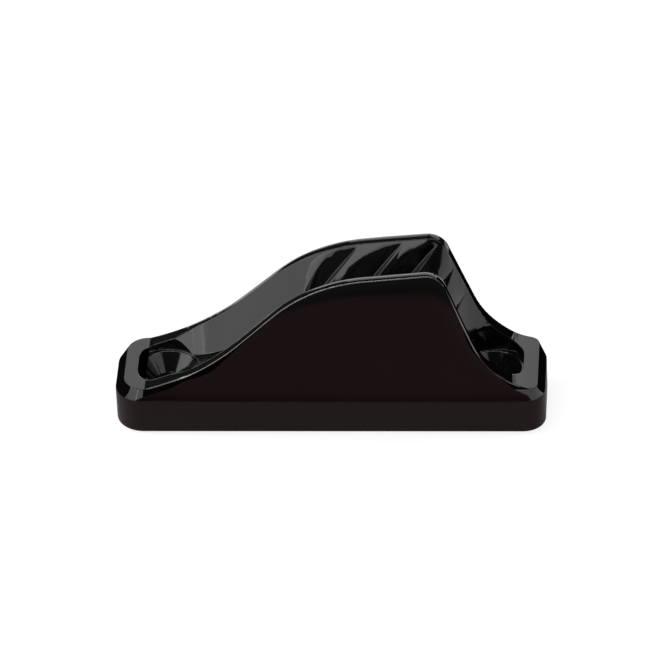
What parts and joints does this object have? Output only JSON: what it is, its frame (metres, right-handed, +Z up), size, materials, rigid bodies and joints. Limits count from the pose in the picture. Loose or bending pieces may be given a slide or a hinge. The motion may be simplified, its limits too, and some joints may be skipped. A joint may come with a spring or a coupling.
{
  "type": "jam cleat",
  "caption": "Open jam cleat for thin line: a toothed V groove between two raised rims on a flat base with countersunk screw holes at both ends.",
  "frame": {"origin": "middle of the base's underside", "axes": "+Z up from the mounting surface, X along the groove with the low ramp end at -X and the steep end at +X, Y across"},
  "size_m": [0.066, 0.0148, 0.0282],
  "materials": {
    "body": "glossy black moulded nylon"
  },
  "bodies": {
    "root": {"cleat_body": "body"}
  },
  "joints": []
}
